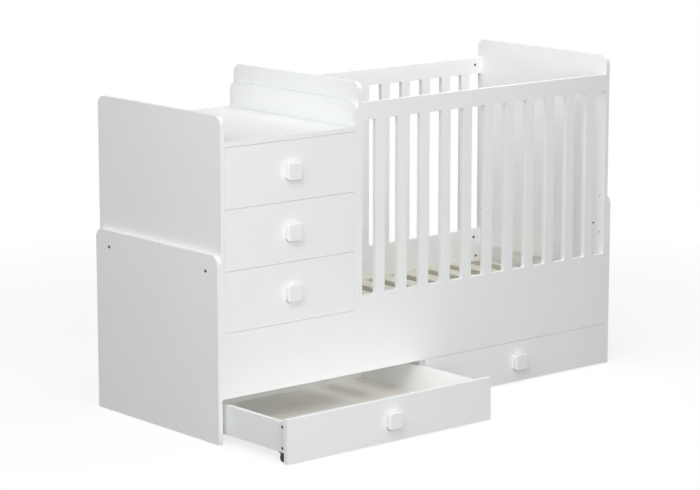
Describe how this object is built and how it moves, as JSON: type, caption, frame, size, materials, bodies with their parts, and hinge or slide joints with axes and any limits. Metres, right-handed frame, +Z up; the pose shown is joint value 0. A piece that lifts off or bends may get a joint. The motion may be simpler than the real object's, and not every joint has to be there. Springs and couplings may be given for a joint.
{
  "type": "crib with attached changer",
  "caption": "Long white crib with a chest of drawers and a changing top at one end, slatted fences, a mattress base on slats and roll-out drawers on wheels below.",
  "frame": {"origin": "on the floor, at the middle of the case's length and depth, under the middle glide of the centre divider", "axes": "+X along the length from the chest to the crib, the fronts face -Y, +Z up"},
  "size_m": [1.735, 0.992, 1.096],
  "materials": {
    "white_laminate": "satin white melamine on chipboard, edge-banded",
    "white_hardboard": "thin white-faced hardboard",
    "white_lacquer": "satin white lacquer with soft edges",
    "pale_wood": "pale planed softwood, unvarnished",
    "white_plastic": "smooth matte",
    "grey_plastic": "matte",
    "black_plastic": "moulded, matte",
    "black_rubber": "matte tread",
    "dark_steel": "darkened zinc cams, screws and bolt heads",
    "bright_steel": "bright zinc, hidden inside the boards"
  },
  "bodies": {
    "frame": {"left_low_end": "white_laminate", "right_low_end": "white_laminate", "front_long_panel": "white_laminate", "back_long_panel": "white_laminate", "centre_divider": "white_laminate", "chest_left_side": "white_laminate", "chest_right_side": "white_laminate", "chest_bottom": "white_laminate", "chest_back": "white_hardboard", "changing_top": "white_laminate", "crib_left_end": "white_laminate", "crib_right_end": "white_laminate", "front_fence": "white_laminate", "back_fence": "white_laminate", "base_side_rails": "pale_wood", "base_end_rails": "pale_wood", "base_slats": "pale_wood", "base_screws": "dark_steel", "cam_locks": "dark_steel", "cam_pins": "bright_steel", "panel_bolts": "dark_steel", "runner_strips": "white_plastic", "floor_glides": "grey_plastic"},
    "top_drawer": {"top_drawer_front": "white_laminate", "top_drawer_sides": "white_laminate", "top_drawer_back": "white_laminate", "top_drawer_bottom": "white_hardboard", "top_knob": "white_lacquer"},
    "middle_drawer": {"middle_drawer_front": "white_laminate", "middle_drawer_sides": "white_laminate", "middle_drawer_back": "white_laminate", "middle_drawer_bottom": "white_hardboard", "middle_knob": "white_lacquer"},
    "bottom_drawer": {"bottom_drawer_front": "white_laminate", "bottom_drawer_sides": "white_laminate", "bottom_drawer_back": "white_laminate", "bottom_drawer_bottom": "white_hardboard", "bottom_knob": "white_lacquer"},
    "left_roll_drawer": {"left_roll_front": "white_laminate", "left_roll_sides": "white_laminate", "left_roll_back": "white_laminate", "left_roll_bottom": "white_hardboard", "left_roll_knob": "white_lacquer", "left_roll_fasteners": "dark_steel", "left_roll_forks": "black_plastic"},
    "left_roll_wheel_front_left": {"left_roll_wheel_front_left": "black_rubber"},
    "left_roll_wheel_front_right": {"left_roll_wheel_front_right": "black_rubber"},
    "left_roll_wheel_rear_left": {"left_roll_wheel_rear_left": "black_rubber"},
    "left_roll_wheel_rear_right": {"left_roll_wheel_rear_right": "black_rubber"},
    "right_roll_drawer": {"right_roll_front": "white_laminate", "right_roll_sides": "white_laminate", "right_roll_back": "white_laminate", "right_roll_bottom": "white_hardboard", "right_roll_knob": "white_lacquer", "right_roll_fasteners": "dark_steel", "right_roll_forks": "black_plastic"},
    "right_roll_wheel_front_left": {"right_roll_wheel_front_left": "black_rubber"},
    "right_roll_wheel_front_right": {"right_roll_wheel_front_right": "black_rubber"},
    "right_roll_wheel_rear_left": {"right_roll_wheel_rear_left": "black_rubber"},
    "right_roll_wheel_rear_right": {"right_roll_wheel_rear_right": "black_rubber"}
  },
  "joints": [
    {"name": "top_drawer_slide", "type": "slide", "parent": "frame", "child": "top_drawer", "axis": [0, -1, 0], "range_m": [0, 0.38]},
    {"name": "middle_drawer_slide", "type": "slide", "parent": "frame", "child": "middle_drawer", "axis": [0, -1, 0], "range_m": [0, 0.38]},
    {"name": "bottom_drawer_slide", "type": "slide", "parent": "frame", "child": "bottom_drawer", "axis": [0, -1, 0], "range_m": [0, 0.38]},
    {"name": "left_roll_slide", "type": "slide", "parent": "frame", "child": "left_roll_drawer", "axis": [0, -1, 0], "range_m": [-0.318, 0.19]},
    {"name": "left_roll_wheel_front_left_spin", "type": "hinge", "parent": "left_roll_drawer", "child": "left_roll_wheel_front_left", "pos_m": [-0.828, -0.6, 0.013], "axis": [1, 0, 0], "continuous": true},
    {"name": "left_roll_wheel_front_right_spin", "type": "hinge", "parent": "left_roll_drawer", "child": "left_roll_wheel_front_right", "pos_m": [-0.022, -0.6, 0.013], "axis": [1, 0, 0], "continuous": true},
    {"name": "left_roll_wheel_rear_left_spin", "type": "hinge", "parent": "left_roll_drawer", "child": "left_roll_wheel_rear_left", "pos_m": [-0.828, -0.051, 0.013], "axis": [1, 0, 0], "continuous": true},
    {"name": "left_roll_wheel_rear_right_spin", "type": "hinge", "parent": "left_roll_drawer", "child": "left_roll_wheel_rear_right", "pos_m": [-0.022, -0.051, 0.013], "axis": [1, 0, 0], "continuous": true},
    {"name": "right_roll_slide", "type": "slide", "parent": "frame", "child": "right_roll_drawer", "axis": [0, -1, 0], "range_m": [0, 0.508]},
    {"name": "right_roll_wheel_front_left_spin", "type": "hinge", "parent": "right_roll_drawer", "child": "right_roll_wheel_front_left", "pos_m": [0.022, -0.282, 0.013], "axis": [1, 0, 0], "continuous": true},
    {"name": "right_roll_wheel_front_right_spin", "type": "hinge", "parent": "right_roll_drawer", "child": "right_roll_wheel_front_right", "pos_m": [0.828, -0.282, 0.013], "axis": [1, 0, 0], "continuous": true},
    {"name": "right_roll_wheel_rear_left_spin", "type": "hinge", "parent": "right_roll_drawer", "child": "right_roll_wheel_rear_left", "pos_m": [0.022, 0.267, 0.013], "axis": [1, 0, 0], "continuous": true},
    {"name": "right_roll_wheel_rear_right_spin", "type": "hinge", "parent": "right_roll_drawer", "child": "right_roll_wheel_rear_right", "pos_m": [0.828, 0.267, 0.013], "axis": [1, 0, 0], "continuous": true}
  ],
  "couplings": [
    {"joint": "left_roll_wheel_front_left_spin", "follows": "left_roll_slide", "rad_per_m": 76.923},
    {"joint": "left_roll_wheel_front_right_spin", "follows": "left_roll_slide", "rad_per_m": 76.923},
    {"joint": "left_roll_wheel_rear_left_spin", "follows": "left_roll_slide", "rad_per_m": 76.923},
    {"joint": "left_roll_wheel_rear_right_spin", "follows": "left_roll_slide", "rad_per_m": 76.923},
    {"joint": "right_roll_wheel_front_left_spin", "follows": "right_roll_slide", "rad_per_m": 76.923},
    {"joint": "right_roll_wheel_front_right_spin", "follows": "right_roll_slide", "rad_per_m": 76.923},
    {"joint": "right_roll_wheel_rear_left_spin", "follows": "right_roll_slide", "rad_per_m": 76.923},
    {"joint": "right_roll_wheel_rear_right_spin", "follows": "right_roll_slide", "rad_per_m": 76.923}
  ]
}
